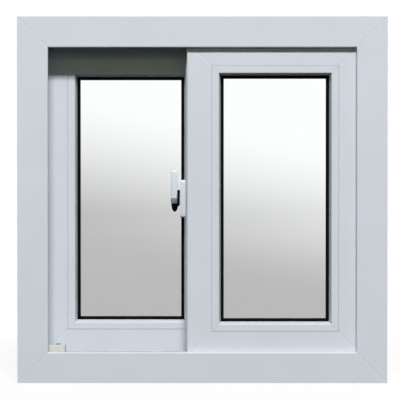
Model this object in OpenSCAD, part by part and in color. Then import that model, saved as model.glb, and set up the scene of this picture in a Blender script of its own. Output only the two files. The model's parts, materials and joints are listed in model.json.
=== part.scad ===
// Two-track sliding window of hollow vinyl profiles, with its frame.
// X runs along the tracks, Y into the depth (room side at the lowest Y), Z up from the underside of the sill.

/* [Frame] */
// Overall width of the frame
frame_w = 600; // [540:10:1500]
// Overall height of the frame
frame_h = 594; // [450:2:1500]
// Height of the frame's face, from its outer edge to the edge of its lips
frame_face = 50; // [44:1:60]
// Height of the track floor above the frame's outer edge
frame_base = 30; // [24:1:36]
// Thickness of the front and rear lips
lip_t = 8; // [6:0.5:12]
// Height of the guide ribs above the track floor
rib_h = 16; // [12:0.5:18]
// Thickness of the guide ribs
rib_t = 8; // [6:0.5:9]
// Wall thickness of the hollow frame and sash profiles
pvc_wall = 2.2; // [1.6:0.1:2.6]
// Radius along the visible edges of the profiles
edge_r = 2; // [0.6:0.1:2.6]
// Length of a drain slot in the sill
drain_l = 28; // [15:1:40]
// Height of a drain slot in the sill
drain_h = 5; // [3:0.5:8]

/* [Rails] */
// Sheet thickness of the aluminium rails on the sill's ribs
rail_t = 1.4; // [1:0.1:2]
// Height of the running bead on top of a rail
rail_bead_h = 2.6; // [2.2:0.1:3.2]
// Width of the running bead
rail_bead_w = 3.6; // [3:0.1:4]
// Length of the rail's skirts down the sides of a rib
rail_skirt = 6; // [3:0.5:9]

/* [Sashes] */
// Thickness of a sash
sash_t = 30; // [28:0.5:36]
// Space between the two sashes
sash_gap = 10; // [9:0.5:14]
// Space between a sash and the lip beside it
lip_gap = 1; // [0.5:0.1:3]
// Overlap of the two meeting stiles
stile_lap = 50; // [44:1:60]
// Width of the flat face from a sash's edge to the bead line
sash_face = 40; // [36:1:50]
// Width of the groove that straddles a rib
groove_w = 18; // [16:0.5:19]
// How far the legs of a sash reach below the top of its rail
leg_lap = 7; // [5.5:0.5:9]
// Space between the jamb's track floor and the closed sash
jamb_room = 8; // [6:0.5:12]
// Space above a sash that lets it be lifted out
lift_room = 9; // [6:0.5:10]

/* [Glazing] */
// Thickness of the glass
glass_t = 5; // [4:0.5:6]
// Space between the edge of the glass and the rebate
glass_gap = 4; // [3:0.5:6]
// Width of a glazing bead
bead_w = 15; // [12:0.5:18]
// Depth of a glazing bead
bead_t = 15; // [12:0.5:16]
// Width of the bead's slope towards the glass
bead_slope = 2.8; // [1:0.1:4]
// Radius between the bead's face and its slope
bead_round = 2; // [1:0.5:4]
// Thickness of a gasket between the glass and its seat
gasket_t = 3; // [2.5:0.1:3.4]
// Width of gasket that shows beyond the bead
gasket_show = 5; // [3:0.5:7]
// Length of a setting block
block_l = 30; // [20:1:50]

/* [Interlock] */
// Sheet thickness of the interlock profiles
interlock_t = 2; // [1.5:0.1:2.2]
// Height of the fin on the front sash's interlock
front_fin = 2.4; // [1:0.1:2.6]

/* [Rollers] */
// Outer radius of a wheel
wheel_r = 9; // [8:0.5:11]
// Width of a wheel's rim
wheel_w = 7; // [6.5:0.5:9]
// Depth of the running groove in a wheel
wheel_groove = 1.6; // [1:0.1:2]
// Diameter of an axle
axle_d = 4; // [3:0.5:5]
// Distance from a sash's edge to the middle of a roller
roller_inset = 60; // [50:1:90]
// Length of a roller housing
house_l = 44; // [42:1:60]
// Sheet thickness of a roller housing
house_t = 2; // [1.5:0.1:2.5]

/* [Lock] */
// Length of the lock base
lock_base_h = 61; // [56:1:80]
// Thickness of the lock base
lock_base_t = 9.6; // [8:0.2:14]
// Depth of the lock's axis behind the front of its sash
pivot_depth = 23; // [21:0.5:25]
// Length of the lever from its axis to its tip
lever_l = 47; // [35:1:60]
// Thickness of the lever
lever_t = 10.6; // [7:0.2:14]
// Radius of the lever's hub
lever_hub_r = 8; // [6.5:0.5:9]
// Thickness of the crescent cam
cam_t = 3.4; // [2.5:0.1:5]
// Diameter of the spindle
spindle_d = 6; // [5:0.5:8]
// Height of the keeper
keeper_h = 36; // [34:1:50]
// Sheet thickness of the keeper
keeper_t = 2; // [1.5:0.1:2.2]
// Thickness of the keeper's lip
keeper_lip = 9; // [5:0.5:12]

/* [Stop block] */
// Length of the stop block that shows beyond the jamb's lip
stop_show = 26; // [24:1:60]
// Width of the stop block
stop_w = 24; // [20:0.5:28]
// Height of the stop block above the rail
stop_rise = 10; // [8:0.5:20]
// Diameter of the small screws
screw_d = 3.5; // [3:0.1:4]

/* [Hidden] */
$fn = 48;
// Points in a quarter of a rounded edge, less one
arc_steps = 4;
// Overrun of every cut past the face it leaves
over = 1;

// Colours as the eye sees them
pvc_colour = "#d6dbe1";
gasket_colour = "#101112";
glass_colour = "#d9e6e4";
metal_colour = "#b4b8bc";
cream_colour = "#dcdccf";
black_colour = "#17181a";
pile_colour = "#8d9094";
steel_colour = "#9a9da1";

// The four sides of a rectangular ring, in turn from the lowest
SIDES = ["bottom", "right", "top", "left"];

// Clearances
fit_gap = 0.15;
run_gap = 0.3;
turn_gap = 0.05;
stop_gap = 0.5;
seam = 0.2;

// Depths, counted from the room-side face of the frame
frame_d = 2 * (lip_t + lip_gap + sash_t) + sash_gap;
front_v = lip_t + lip_gap;
rear_v = front_v + sash_t + sash_gap;
front_track_v = front_v + sash_t / 2;
rear_track_v = rear_v + sash_t / 2;

// Tracks, rails and wheels
rib_top = frame_base + rib_h;
rail_half = rib_t / 2 + fit_gap + rail_t;
rail_top = rib_top + rail_t + rail_bead_h;
rail_round = 0.8;
rail_l = frame_w - 2 * (rib_top + stop_gap);
run_r = wheel_r - wheel_groove;
axle_z = rail_top + run_gap + run_r;

// Sashes
leg_t = (sash_t - groove_w) / 2;
groove_h = leg_lap + run_gap + run_r + wheel_r + run_gap + house_t;
sash_z0 = rail_top - leg_lap;
sash_z1 = frame_h - frame_base - lift_room;
sash_h = sash_z1 - sash_z0;
sash_mid_z = (sash_z0 + sash_z1) / 2;
sash_edge = frame_w / 2 - frame_base - jamb_room;
sash_w = sash_edge + stile_lap / 2;
front_x = sash_edge - sash_w / 2;
rear_x = -front_x;
head_rib_z = frame_h - rib_top;

// Grooves along the welds
weld_w = 2;
weld_d = 0.4;

// Glazing rebate
rebate_q = bead_t + 2 * gasket_t + glass_t;
glaze_p = sash_face + bead_w;
foot_h = 2.5;
foot_w = 3;
foot_q = 3;
bead_wall = 1.8;
bead_edge = 0.5;
gasket_seat = 6;
gasket_tip = 1.2;
block_w = 10;
block_inset = 20;

// Pile strips in the grooves
pile_p = 1;
pile_w = 4;
pile_slot = 1.6;
pile_thick_share = 0.6;

// Guide blocks in the top groove
guide_l = 30;
guide_inset = 40;

// Roller housings
house_w = groove_w - 2 * run_gap;
house_drop = 5;
hub_wall = 2;
hub_r = axle_d / 2 + hub_wall;
wheel_flare = 0.4;
groove_clear = 0.6;
house_screw_inset = 5;
house_screw_d = 3;
house_screw_head = 5.5;
house_screw_head_h = 1.6;
house_screw_l = 7;

// Interlock
fin_gap = 0.6;
fin_t = 1.2;
fin_end_gap = 0.6;
rear_fin = sash_gap - 2 * interlock_t - fin_end_gap;
cover_set = 18;
cover_x = -stile_lap / 2 - interlock_t;
interlock_z0 = rail_top + stop_gap;
interlock_z1 = head_rib_z - stop_gap;

// Lock and keeper
lock_z = sash_mid_z;
pivot_v = front_v + pivot_depth;
base_reach = 10;
base_v0 = pivot_v - base_reach;
base_v1 = front_v + sash_t + interlock_t;
base_x = cover_x - lock_base_t;
base_round = 3;
base_screw_rise = 22;
base_screw_v = front_v + sash_t - leg_t / 2;
base_head_d = 6;
base_head_h = 2.4;
base_screw_l = 20;
cam_gap = 0.7;
cam_x = base_x - cam_gap;
cam_clear = 1;
cam_r = rear_v - cam_clear - pivot_v;
cam_hub_r = 7;
cam_sweep = 50;
cam_steps = 8;
lever_x = cam_x - cam_t - run_gap;
lever_tip_r = 4;
lever_edge = 1;
lever_turn = 10;
spindle_end = 1.5;
keeper_front = front_v + sash_t + interlock_t + front_fin + cam_clear - fit_gap;
keeper_lip_x = cam_x - cam_t - cam_clear - run_gap;
keeper_bead_x = stile_lap / 2 - glaze_p - run_gap;
keeper_right = -fin_gap / 2 - cam_gap;
keeper_joggle = 0.2;
keeper_drop_share = 0.61;
keeper_hook = 2;
keeper_hook_h = 12.5;
keeper_step = 13;
keeper_screw_edge = 6;
keeper_screw_inset = 7;
keeper_screw_x = keeper_right - keeper_screw_inset;
keeper_screw_l = 12;
keeper_head_d = 6.4;
keeper_head_h = 1.6;

// Stop block
stop_x0 = -(frame_w / 2 - rib_top) + stop_gap;
stop_x1 = -(frame_w / 2 - frame_face) + stop_show;
stop_z1 = rail_top + stop_rise;
stop_edge = 1.2;
stop_screw_inset = 11;
stop_screw_x = stop_x1 - stop_screw_inset;
stop_screw_l = 22;
stop_head_d = 7.6;
stop_head_h = 2.8;
stop_head_sink = 0.4;

// Drains
drain_share = 0.25;
rib_drain_share = 0.12;

// Turn of a side from the lowest one, whether it stands upright, its length and its distance from the middle
function turn(side) = 90 * search([side], SIDES)[0];
function upright(side) = side == "left" || side == "right";
function side_run(side, w, h) = upright(side) ? h : w;
function side_off(side, w, h) = upright(side) ? w / 2 : h / 2;

// World Y of a depth counted from the frame's room-side face
function vy(v) = v - frame_d / 2;

// Points of an arc round c, both ends included
function arc(c, r, a0, a1, steps = arc_steps) =
    [for (i = [0:steps]) let (a = a0 + (a1 - a0) * i / steps) c + r * [cos(a), sin(a)]];

// Outline of a lever from a hub of radius r0 at the origin to a tip of radius r1 at the distance l along +Y,
// with two bevels below the hub that meet in a short arc
function bevelled(r0, r1, l) =
    let (a = asin((r0 - r1) / l))
    concat(
        [r0 * [-cos(a), sin(a)]],
        arc([0, 0], r0, 270 - lever_turn, 270 + lever_turn),
        [r0 * [cos(a), sin(a)]],
        arc([0, l], r1, a, 180 - a, 4 * arc_steps));

// A square with its lowest corner at p
module patch(p, size) {
    translate(p)
        square(size);
}

// A box from its lowest to its highest corner
module span(a, b) {
    translate(a)
        cube(b - a);
}

// One side of a mitred ring of size w by h round the origin: the section lies in depth and reach
module ring_side(side, w, h, depth, reach, start = 0, gap = 0) {
    end = side_run(side, w, h) / 2 - gap;
    mitre = [[start - end, start], [end - start, start], [end - reach, reach], [reach - end, reach]];
    rotate([0, -turn(side), 0])
        translate([0, 0, -side_off(side, w, h)])
            intersection() {
                rotate([90, 0, 90])
                    linear_extrude(2 * end, center = true)
                        children();
                translate([0, depth, 0])
                    rotate([90, 0, 0])
                        linear_extrude(depth)
                            polygon(mitre);
            }
}

// The shallow grooves that cleaning leaves along the welds of a ring's side, on its front and rear faces
module weld_grooves(side, w, h, depth, reach) {
    end = side_run(side, w, h) / 2;
    outline = [[weld_d, 0], [-weld_d, weld_w], [-weld_d, -weld_w]];
    rotate([0, -turn(side), 0])
        translate([0, 0, -side_off(side, w, h)])
            for (s = [0, 1])
                mirror([s, 0, 0])
                    for (face = [0, 1])
                        translate([-end, face * depth, 0])
                            mirror([0, face, 0])
                                rotate([0, -45, 0])
                                    rotate([90, 0, 90])
                                        linear_extrude(reach * sqrt(2))
                                            polygon(outline);
}

// A screw along -Z with the underside of its head at the origin
module screw(d, l, head_d, head_h) {
    translate([0, 0, -l])
        cylinder(d = d, h = l);
    cylinder(d = head_d, h = head_h);
}

// Profile of the frame: two lips, two ribs and a row of chambers
frame_webs = 3;
frame_chamber_w = (frame_d - (frame_webs + 2) * pvc_wall) / (frame_webs + 1);

function rib_points(v) = [
    [v + rib_t / 2, frame_base], [v + rib_t / 2, rib_top],
    [v - rib_t / 2, rib_top], [v - rib_t / 2, frame_base]];

module frame_section() {
    difference() {
        polygon(concat(
            [[0, 0], [frame_d, 0]],
            arc([frame_d - edge_r, frame_face - edge_r], edge_r, 0, 90),
            arc([frame_d - lip_t + edge_r, frame_face - edge_r], edge_r, 90, 180),
            [[frame_d - lip_t, frame_base]],
            rib_points(rear_track_v),
            rib_points(front_track_v),
            [[lip_t, frame_base]],
            arc([lip_t - edge_r, frame_face - edge_r], edge_r, 0, 90),
            arc([edge_r, frame_face - edge_r], edge_r, 90, 180)));
        for (i = [0:frame_webs])
            patch(
                [pvc_wall + i * (frame_chamber_w + pvc_wall), pvc_wall],
                [frame_chamber_w, frame_base - 2 * pvc_wall]);
        for (v = [front_track_v, rear_track_v])
            patch([v - rib_t / 2 + pvc_wall, frame_base], [rib_t - 2 * pvc_wall, rib_h - pvc_wall]);
        for (v = [0, frame_d - lip_t])
            patch([v + pvc_wall, frame_base], [lip_t - 2 * pvc_wall, frame_face - frame_base - pvc_wall]);
    }
}

module frame_member(side) {
    color(pvc_colour)
        translate([0, vy(0), frame_h / 2])
            difference() {
                ring_side(side, frame_w, frame_h, frame_d, frame_face)
                    frame_section();
                weld_grooves(side, frame_w, frame_h, frame_d, frame_face);
            }
}

module frame_head() {
    frame_member("top");
}

module frame_jamb_left() {
    frame_member("left");
}

module frame_jamb_right() {
    frame_member("right");
}

// Slot through a wall of the sill that runs from depth v0 to v1, at the track floor
module drain(x, v0, v1) {
    span([x - drain_l / 2, vy(v0), frame_base], [x + drain_l / 2, vy(v1), frame_base + drain_h]);
}

module frame_sill() {
    color(pvc_colour)
        difference() {
            frame_member("bottom");
            for (s = [-1, 1]) {
                drain(s * drain_share * frame_w, frame_d - lip_t - over, frame_d + over);
                for (v = [front_track_v, rear_track_v])
                    drain(s * rib_drain_share * frame_w, v - rib_t / 2 - over, v + rib_t / 2 + over);
            }
            stop_screw_hole();
        }
}

// Rail of folded aluminium over a rib, with a rounded running bead
module rail(v) {
    inner = rib_t / 2 + fit_gap;
    bead = rail_bead_w / 2;
    bead_top = rail_t + rail_bead_h;
    color(metal_colour)
        translate([0, vy(v), rib_top])
            rotate([90, 0, 90])
                linear_extrude(rail_l, center = true)
                    polygon(concat(
                        [[-rail_half, -rail_skirt], [-inner, -rail_skirt], [-inner, 0], [inner, 0]],
                        [[inner, -rail_skirt], [rail_half, -rail_skirt], [rail_half, rail_t], [bead, rail_t]],
                        arc([bead - rail_round, bead_top - rail_round], rail_round, 0, 90),
                        arc([-bead + rail_round, bead_top - rail_round], rail_round, 90, 180),
                        [[-bead, rail_t], [-rail_half, rail_t]]));
}

module front_rail() {
    color(metal_colour)
        difference() {
            rail(front_track_v);
            stop_screw_hole();
        }
}

module rear_rail() {
    rail(rear_track_v);
}

// Stop block that straddles the front rail at the left jamb
module stop_screw_hole() {
    translate([stop_screw_x, vy(front_track_v), stop_z1 - stop_head_sink - stop_screw_l - over])
        cylinder(d = screw_d + 2 * fit_gap, h = stop_screw_l + stop_head_sink + 2 * over);
}

module stop_block() {
    half = stop_w / 2;
    slot = rail_half + fit_gap;
    color(cream_colour)
        difference() {
            translate([stop_x0, vy(front_track_v), 0])
                rotate([90, 0, 90])
                    linear_extrude(stop_x1 - stop_x0)
                        polygon(concat(
                            [[-half, frame_base], [-slot, frame_base], [-slot, rail_top + fit_gap]],
                            [[slot, rail_top + fit_gap], [slot, frame_base], [half, frame_base]],
                            arc([half - stop_edge, stop_z1 - stop_edge], stop_edge, 0, 90),
                            arc([-half + stop_edge, stop_z1 - stop_edge], stop_edge, 90, 180)));
            stop_screw_hole();
            translate([stop_screw_x, vy(front_track_v), stop_z1 - stop_head_sink])
                cylinder(d = stop_head_d + 2 * fit_gap, h = stop_head_sink + over);
        }
}

module stop_block_screw() {
    color(steel_colour)
        translate([stop_screw_x, vy(front_track_v), stop_z1 - stop_head_sink])
            screw(screw_d, stop_screw_l, stop_head_d, stop_head_h);
}

// Profile of a sash: two legs round a groove, chambers, and a rebate for the glass
module sash_section() {
    chamber_p0 = groove_h + pvc_wall;
    chamber_p1 = sash_face - foot_h - pvc_wall;
    chamber_w = (sash_t - 3 * pvc_wall) / 2;
    leg_hollow = leg_t - 2 * pvc_wall;
    leg_p = pile_p + pile_w + pvc_wall;
    difference() {
        polygon(concat(
            arc([edge_r, edge_r], edge_r, 180, 270),
            [[leg_t, 0], [leg_t, groove_h], [sash_t - leg_t, groove_h], [sash_t - leg_t, 0]],
            arc([sash_t - edge_r, edge_r], edge_r, 270, 360),
            arc([sash_t - edge_r, glaze_p - edge_r], edge_r, 0, 90),
            [[rebate_q, glaze_p], [rebate_q, sash_face], [foot_q + foot_w, sash_face]],
            [[foot_q + foot_w, sash_face - foot_h], [foot_q, sash_face - foot_h]],
            [[foot_q, sash_face], [0, sash_face]]));
        for (i = [0, 1])
            patch([pvc_wall + i * (chamber_w + pvc_wall), chamber_p0], [chamber_w, chamber_p1 - chamber_p0]);
        patch([leg_t - pile_slot, pile_p], [pile_slot + over, pile_w]);
        patch([sash_t - leg_t - over, pile_p], [pile_slot + over, pile_w]);
        patch([pvc_wall, leg_p], [leg_hollow, groove_h - leg_p]);
        patch([sash_t - leg_t + pvc_wall, leg_p], [leg_hollow, groove_h - leg_p]);
    }
}

// Places its children round a sash's middle, at the depth of the sash's front
module at_sash(x, v) {
    translate([x, vy(v), sash_mid_z])
        children();
}

module sash_member(x, v, side) {
    color(pvc_colour)
        at_sash(x, v)
            difference() {
                ring_side(side, sash_w, sash_h, sash_t, glaze_p)
                    sash_section();
                weld_grooves(side, sash_w, sash_h, sash_t, glaze_p);
            }
}

// Bottom rail with the holes that its roller screws bite into
module bottom_rail(x, v) {
    color(pvc_colour)
        difference() {
            sash_member(x, v, "bottom");
            roller_screw_places(x, v)
                cylinder(d = house_screw_d + 2 * fit_gap, h = house_screw_l + house_t + over);
        }
}

// Glazing bead: a hollow strip whose face turns round an edge into a steep slope, with a snap foot
module bead_section() {
    b0 = sash_face + seam;
    b1 = glaze_p;
    foot0 = foot_q + fit_gap;
    foot1 = foot_q + foot_w - fit_gap;
    foot_p = sash_face - foot_h + fit_gap;
    lean = atan(bead_slope / bead_t);
    round_p = b1 - bead_slope + bead_round * (tan(lean) - 1 / cos(lean));
    difference() {
        polygon(concat(
            [[bead_edge, b0], [foot0, b0], [foot0, foot_p], [foot1, foot_p], [foot1, b0]],
            [[bead_t, b0], [bead_t, b1]],
            arc([bead_round, round_p], bead_round, 90 + lean, 180),
            [[0, b0 + bead_edge]]));
        patch([bead_wall, b0 + bead_wall], [bead_t - 2 * bead_wall, b1 - b0 - bead_slope - 2 * bead_wall]);
    }
}

module bead(x, v, side) {
    color(pvc_colour)
        at_sash(x, v)
            ring_side(side, sash_w, sash_h, bead_t, glaze_p, sash_face - foot_h, fit_gap)
                bead_section();
}

// Gasket strip: a flat seat that thins to a lip against the glass
module gasket_section() {
    g0 = sash_face + gasket_seat;
    g1 = glaze_p + gasket_show;
    polygon([[0, g0], [gasket_t, g0], [gasket_t, g1], [gasket_t - gasket_tip, g1], [0, glaze_p]]);
}

module gasket_ring(x, v, inner) {
    depth = inner ? bead_t : rebate_q;
    color(gasket_colour)
        at_sash(x, v + depth)
            for (side = SIDES)
                mirror([0, inner ? 0 : 1, 0])
                    ring_side(side, sash_w, sash_h, gasket_t, glaze_p + gasket_show, sash_face)
                        gasket_section();
}

module glass(x, v) {
    half_w = sash_w / 2 - sash_face - glass_gap;
    half_h = sash_h / 2 - sash_face - glass_gap;
    q = bead_t + gasket_t;
    color(glass_colour)
        at_sash(x, v)
            span([-half_w, q, -half_h], [half_w, q + glass_t, half_h]);
}

// Setting blocks between the glass and the rebate, two on each side
module setting_blocks(x, v) {
    q = bead_t + gasket_t + glass_t / 2 - block_w / 2;
    color(black_colour)
        at_sash(x, v)
            for (side = SIDES)
                rotate([0, -turn(side), 0])
                    for (s = [-1, 1]) {
                        end = side_run(side, sash_w, sash_h) / 2 - sash_face - glass_gap - block_inset;
                        mid = s * (end - block_l / 2);
                        translate([mid - block_l / 2, q, sash_face - side_off(side, sash_w, sash_h)])
                            cube([block_l, block_w, glass_gap]);
                    }
}

// Two pile strips on one side of a sash, backed into their slots and brushing the rib
module pile_pair(side, run, half) {
    off = side_off(side, sash_w, sash_h);
    reach = groove_w / 2 - half - run_gap;
    thick = pile_w * pile_thick_share;
    rotate([0, -turn(side), 0])
        for (s = [0, 1])
            translate([0, sash_t / 2, pile_p - off])
                rotate([0, 0, 180 * s])
                    translate([-run / 2, groove_w / 2, 0]) {
                        cube([run, pile_slot, pile_w]);
                        translate([0, -reach, (pile_w - thick) / 2])
                            cube([run, reach, thick]);
                    }
}

module pile_strips(x, v, jamb_side) {
    flat_run = sash_w - 2 * (pile_p + pile_w);
    tall_run = sash_h - 2 * (max(leg_lap, lift_room) + stop_gap);
    color(pile_colour)
        at_sash(x, v) {
            pile_pair("bottom", flat_run, rail_half);
            pile_pair("top", flat_run, rib_t / 2);
            pile_pair(jamb_side, tall_run, rib_t / 2);
        }
}

// Guide blocks that keep the sash upright under the head's rib
module guide_blocks(x, v) {
    half = groove_w / 2 - fit_gap;
    mid_v = v + sash_t / 2;
    color(black_colour)
        for (s = [-1, 1]) {
            mid_x = x + s * (sash_w / 2 - guide_inset);
            span(
                [mid_x - guide_l / 2, vy(mid_v - half), sash_z1 - groove_h],
                [mid_x + guide_l / 2, vy(mid_v + half), head_rib_z - run_gap]);
        }
}

// Interlock of the front sash: a plate that closes the groove, a cover over the rear leg, an arm and a fin
module interlock(fin) {
    v0 = front_v + cover_set;
    v1 = front_v + sash_t;
    v2 = v1 + interlock_t;
    edge_x = -stile_lap / 2;
    plate_x = edge_x + interlock_t;
    plate_v0 = front_v + leg_t + fit_gap;
    plate_v1 = v1 - leg_t - fit_gap;
    fin_x = -fin_gap / 2;
    outline = [
        [cover_x, v0], [edge_x, v0], [edge_x, plate_v0], [plate_x, plate_v0],
        [plate_x, plate_v1], [edge_x, plate_v1], [edge_x, v1], [fin_x, v1],
        [fin_x, v2 + fin], [fin_x - fin_t, v2 + fin], [fin_x - fin_t, v2], [cover_x, v2]];
    translate([0, vy(0), interlock_z0])
        linear_extrude(interlock_z1 - interlock_z0)
            polygon(outline);
}

// Roller: a folded housing in the bottom groove, an axle and a grooved wheel
function roller_x(x, s) = x + s * (sash_w / 2 - roller_inset);

module at_roller(x, v, s) {
    translate([roller_x(x, s), vy(v + sash_t / 2), axle_z])
        children();
}

module roller_housing(x, v, s) {
    half = house_w / 2;
    ceiling = sash_z0 + groove_h - axle_z;
    color(metal_colour)
        difference() {
            at_roller(x, v, s)
                rotate([90, 0, 90])
                    linear_extrude(house_l, center = true)
                        polygon([
                            [-half, -house_drop], [-half + house_t, -house_drop],
                            [-half + house_t, ceiling - house_t], [half - house_t, ceiling - house_t],
                            [half - house_t, -house_drop], [half, -house_drop],
                            [half, ceiling], [-half, ceiling]]);
            at_roller(x, v, s)
                axle_rod(turn_gap);
            roller_screw_places(x, v)
                cylinder(d = house_screw_d + 2 * fit_gap, h = 2 * house_t + over);
        }
}

module axle_rod(gap) {
    rotate([90, 0, 0])
        cylinder(d = axle_d + 2 * gap, h = house_w, center = true);
}

module roller_axles(x, v) {
    color(steel_colour)
        for (s = [-1, 1])
            at_roller(x, v, s)
                axle_rod(0);
}

// Runs along +Z from the underside of each housing's top plate
module roller_screw_places(x, v) {
    for (s = [-1, 1])
        for (e = [-1, 1])
            translate([
                roller_x(x, s) + e * (house_l / 2 - house_screw_inset),
                vy(v + sash_t / 2),
                sash_z0 + groove_h - house_t - over])
                children();
}

module roller_screws(x, v) {
    color(steel_colour)
        roller_screw_places(x, v)
            translate([0, 0, over])
                rotate([180, 0, 0])
                    screw(house_screw_d, house_screw_l, house_screw_head, house_screw_head_h);
}

module wheel(x, v, s) {
    rim = wheel_w / 2;
    hub = house_w / 2 - house_t - run_gap;
    floor_half = rail_bead_w / 2 + groove_clear;
    bore = axle_d / 2 + turn_gap;
    color(cream_colour)
        at_roller(x, v, s)
            rotate([90, 0, 0])
                rotate_extrude()
                    polygon([
                        [bore, -hub], [hub_r, -hub], [hub_r, -rim], [wheel_r, -rim],
                        [wheel_r, -floor_half - wheel_flare], [run_r, -floor_half],
                        [run_r, floor_half], [wheel_r, floor_half + wheel_flare],
                        [wheel_r, rim], [hub_r, rim], [hub_r, hub], [bore, hub]]);
}

// Front sash
module front_top_rail() {
    sash_member(front_x, front_v, "top");
}

module front_bottom_rail() {
    bottom_rail(front_x, front_v);
}

module front_jamb_stile() {
    sash_member(front_x, front_v, "right");
}

module front_meeting_stile() {
    color(pvc_colour)
        difference() {
            sash_member(front_x, front_v, "left");
            base_screw_places()
                base_screw_hole();
        }
}

module front_bead_top() {
    bead(front_x, front_v, "top");
}

module front_bead_bottom() {
    bead(front_x, front_v, "bottom");
}

module front_bead_left() {
    bead(front_x, front_v, "left");
}

module front_bead_right() {
    bead(front_x, front_v, "right");
}

module front_glass() {
    glass(front_x, front_v);
}

module front_inner_gaskets() {
    gasket_ring(front_x, front_v, true);
}

module front_outer_gaskets() {
    gasket_ring(front_x, front_v, false);
}

module front_setting_blocks() {
    setting_blocks(front_x, front_v);
}

module front_pile_strips() {
    pile_strips(front_x, front_v, "right");
}

module front_guide_blocks() {
    guide_blocks(front_x, front_v);
}

module front_interlock() {
    color(pvc_colour)
        difference() {
            interlock(front_fin);
            base_screw_places()
                base_screw_hole();
        }
}

module front_roller_housing_left() {
    roller_housing(front_x, front_v, -1);
}

module front_roller_housing_right() {
    roller_housing(front_x, front_v, 1);
}

module front_roller_axles() {
    roller_axles(front_x, front_v);
}

module front_roller_screws() {
    roller_screws(front_x, front_v);
}

module front_wheel_left() {
    wheel(front_x, front_v, -1);
}

module front_wheel_right() {
    wheel(front_x, front_v, 1);
}

// Rear sash
module rear_top_rail() {
    sash_member(rear_x, rear_v, "top");
}

module rear_bottom_rail() {
    bottom_rail(rear_x, rear_v);
}

module rear_jamb_stile() {
    sash_member(rear_x, rear_v, "left");
}

module rear_meeting_stile() {
    color(pvc_colour)
        difference() {
            sash_member(rear_x, rear_v, "right");
            keeper_screw_places()
                keeper_screw_hole();
        }
}

module rear_bead_top() {
    bead(rear_x, rear_v, "top");
}

module rear_bead_bottom() {
    bead(rear_x, rear_v, "bottom");
}

module rear_bead_left() {
    bead(rear_x, rear_v, "left");
}

module rear_bead_right() {
    bead(rear_x, rear_v, "right");
}

module rear_glass() {
    glass(rear_x, rear_v);
}

module rear_inner_gaskets() {
    gasket_ring(rear_x, rear_v, true);
}

module rear_outer_gaskets() {
    gasket_ring(rear_x, rear_v, false);
}

module rear_setting_blocks() {
    setting_blocks(rear_x, rear_v);
}

module rear_pile_strips() {
    pile_strips(rear_x, rear_v, "left");
}

module rear_guide_blocks() {
    guide_blocks(rear_x, rear_v);
}

module rear_interlock() {
    color(pvc_colour)
        rotate([0, 0, 180])
            interlock(rear_fin);
}

module rear_roller_housing_left() {
    roller_housing(rear_x, rear_v, -1);
}

module rear_roller_housing_right() {
    roller_housing(rear_x, rear_v, 1);
}

module rear_roller_axles() {
    roller_axles(rear_x, rear_v);
}

module rear_roller_screws() {
    roller_screws(rear_x, rear_v);
}

module rear_wheel_left() {
    wheel(rear_x, rear_v, -1);
}

module rear_wheel_right() {
    wheel(rear_x, rear_v, 1);
}

// Extrudes an outline drawn in depth and height, round the lock's axis, from x to x + t
module at_lock(x, t) {
    translate([x, vy(pivot_v), lock_z])
        rotate([90, 0, 90])
            linear_extrude(t)
                children();
}

// Screws of the lock base, along +X into the leg of the meeting stile
module base_screw_places() {
    for (s = [-1, 1])
        translate([base_x + base_head_h, vy(base_screw_v), lock_z + s * base_screw_rise])
            rotate([0, -90, 0])
                children();
}

module base_screw_hole() {
    translate([0, 0, -base_screw_l - over])
        cylinder(d = screw_d + 2 * fit_gap, h = base_screw_l + 2 * over);
}

module lock_base() {
    d0 = base_v0 - pivot_v + base_round;
    d1 = base_v1 - pivot_v - base_round;
    rise = lock_base_h / 2 - base_round;
    color(pvc_colour)
        difference() {
            at_lock(base_x, lock_base_t)
                polygon(concat(
                    arc([d1, rise], base_round, 0, 90),
                    arc([d0, rise], base_round, 90, 180),
                    arc([d0, -rise], base_round, 180, 270),
                    arc([d1, -rise], base_round, 270, 360)));
            at_lock(base_x - over, lock_base_t + 2 * over)
                circle(d = spindle_d + 2 * turn_gap);
            base_screw_places()
                base_screw_hole();
            base_screw_places()
                cylinder(d = base_head_d + 2 * fit_gap, h = base_head_h + over);
        }
}

module lock_base_screws() {
    color(steel_colour)
        base_screw_places()
            screw(screw_d, base_screw_l, base_head_d, base_head_h);
}

// Lever that stands up when the lock is open
module lock_lever() {
    color(pvc_colour)
        difference() {
            union() {
                at_lock(lever_x - lever_t + lever_edge, lever_t - lever_edge)
                    polygon(bevelled(lever_hub_r, lever_tip_r, lever_l - lever_tip_r));
                at_lock(lever_x - lever_t, lever_edge)
                    polygon(bevelled(lever_hub_r - lever_edge, lever_tip_r - lever_edge, lever_l - lever_tip_r));
            }
            at_lock(lever_x - lever_t + spindle_end, lever_t)
                circle(d = spindle_d + 2 * turn_gap);
        }
}

// Crescent cam that points into the room when the lock is open
module lock_cam() {
    color(black_colour)
        difference() {
            at_lock(cam_x - cam_t, cam_t)
                union() {
                    circle(r = cam_hub_r);
                    polygon(concat(
                        [[0, cam_hub_r]],
                        arc([0, 0], cam_r, 180 - cam_sweep, 180 + cam_sweep, cam_steps),
                        [[0, -cam_hub_r]]));
                }
            at_lock(cam_x - cam_t - over, cam_t + 2 * over)
                circle(d = spindle_d + 2 * turn_gap);
        }
}

module lock_spindle() {
    color(steel_colour)
        at_lock(lever_x - lever_t + spindle_end, cover_x - lever_x + lever_t - spindle_end - run_gap)
            circle(d = spindle_d);
}

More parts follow.
